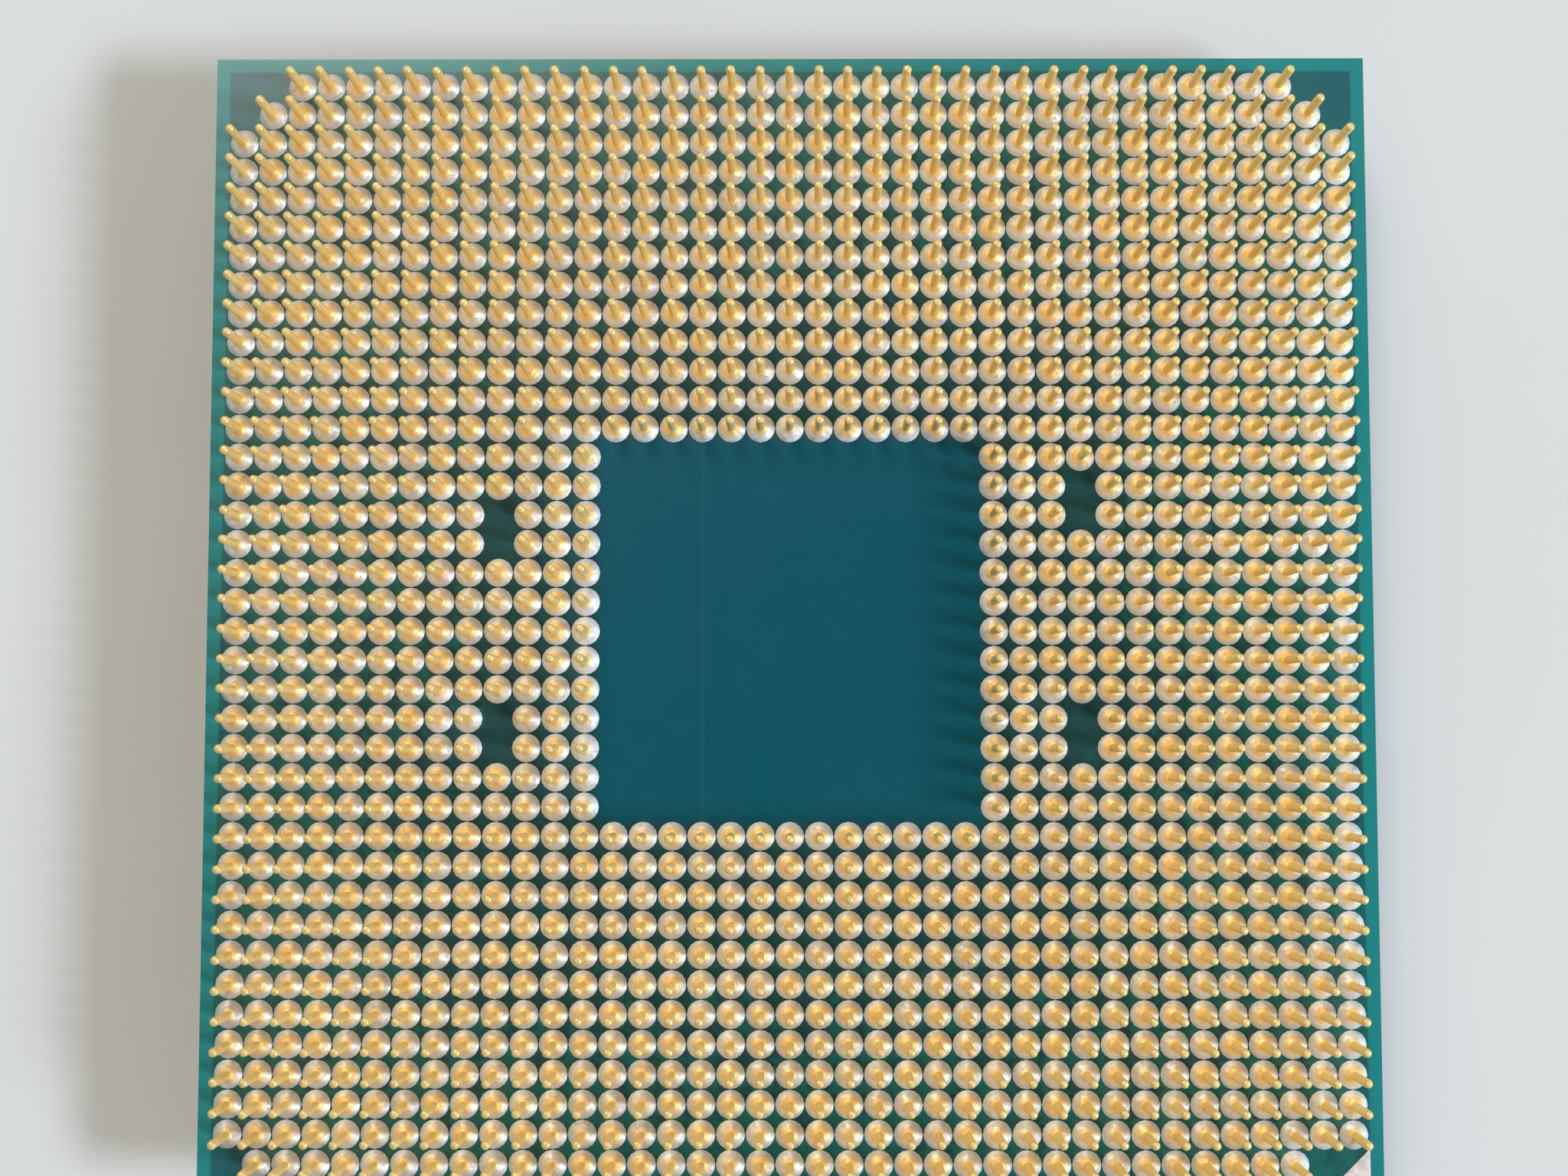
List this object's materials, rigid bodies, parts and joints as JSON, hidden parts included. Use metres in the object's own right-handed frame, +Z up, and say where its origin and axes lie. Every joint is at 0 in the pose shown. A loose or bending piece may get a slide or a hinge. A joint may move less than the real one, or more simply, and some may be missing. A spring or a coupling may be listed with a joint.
{
  "type": "desktop processor",
  "caption": "Square pin-grid desktop processor: a board with gold contact pins round a bare middle, over a nickel-plated lid that covers a soldered die.",
  "frame": {"origin": "middle of the lid's outer face, the lowest face as it lies with its pins up", "axes": "+Z up out of the pin side, +X and +Y along the board's sides, index corner at +X and -Y"},
  "size_m": [0.04, 0.04, 0.0067],
  "materials": {
    "board_mask": "semi-gloss",
    "pin_gold": "polished",
    "pin_solder": "bright",
    "mark_gold": "satin",
    "lid_nickel": "satin",
    "sealant": "matte",
    "die_solder": "dull",
    "silicon": "polished",
    "underfill": "matte",
    "capacitor": "matte"
  },
  "bodies": {
    "root": {"substrate": "board_mask", "pin_side_mark": "mark_gold", "lid_side_mark": "mark_gold", "heat_spreader": "lid_nickel", "lid_sealant": "sealant", "die_solder": "die_solder", "silicon_die": "silicon", "die_underfill": "underfill", "pins_back_left": "pin_gold", "pins_back": "pin_gold", "pins_back_right": "pin_gold", "pins_left": "pin_gold", "pins_right": "pin_gold", "pins_front_left": "pin_gold", "pins_front": "pin_gold", "pins_front_right": "pin_gold", "solder_back_left": "pin_solder", "solder_back": "pin_solder", "solder_back_right": "pin_solder", "solder_left": "pin_solder", "solder_right": "pin_solder", "solder_front_left": "pin_solder", "solder_front": "pin_solder", "solder_front_right": "pin_solder", "capacitor_1": "capacitor", "capacitor_2": "capacitor", "capacitor_3": "capacitor", "capacitor_4": "capacitor", "capacitor_5": "capacitor", "capacitor_6": "capacitor", "capacitor_7": "capacitor", "capacitor_8": "capacitor", "capacitor_9": "capacitor", "capacitor_10": "capacitor", "capacitor_11": "capacitor", "capacitor_12": "capacitor", "capacitor_13": "capacitor", "capacitor_14": "capacitor", "capacitor_15": "capacitor", "capacitor_16": "capacitor"}
  },
  "joints": []
}
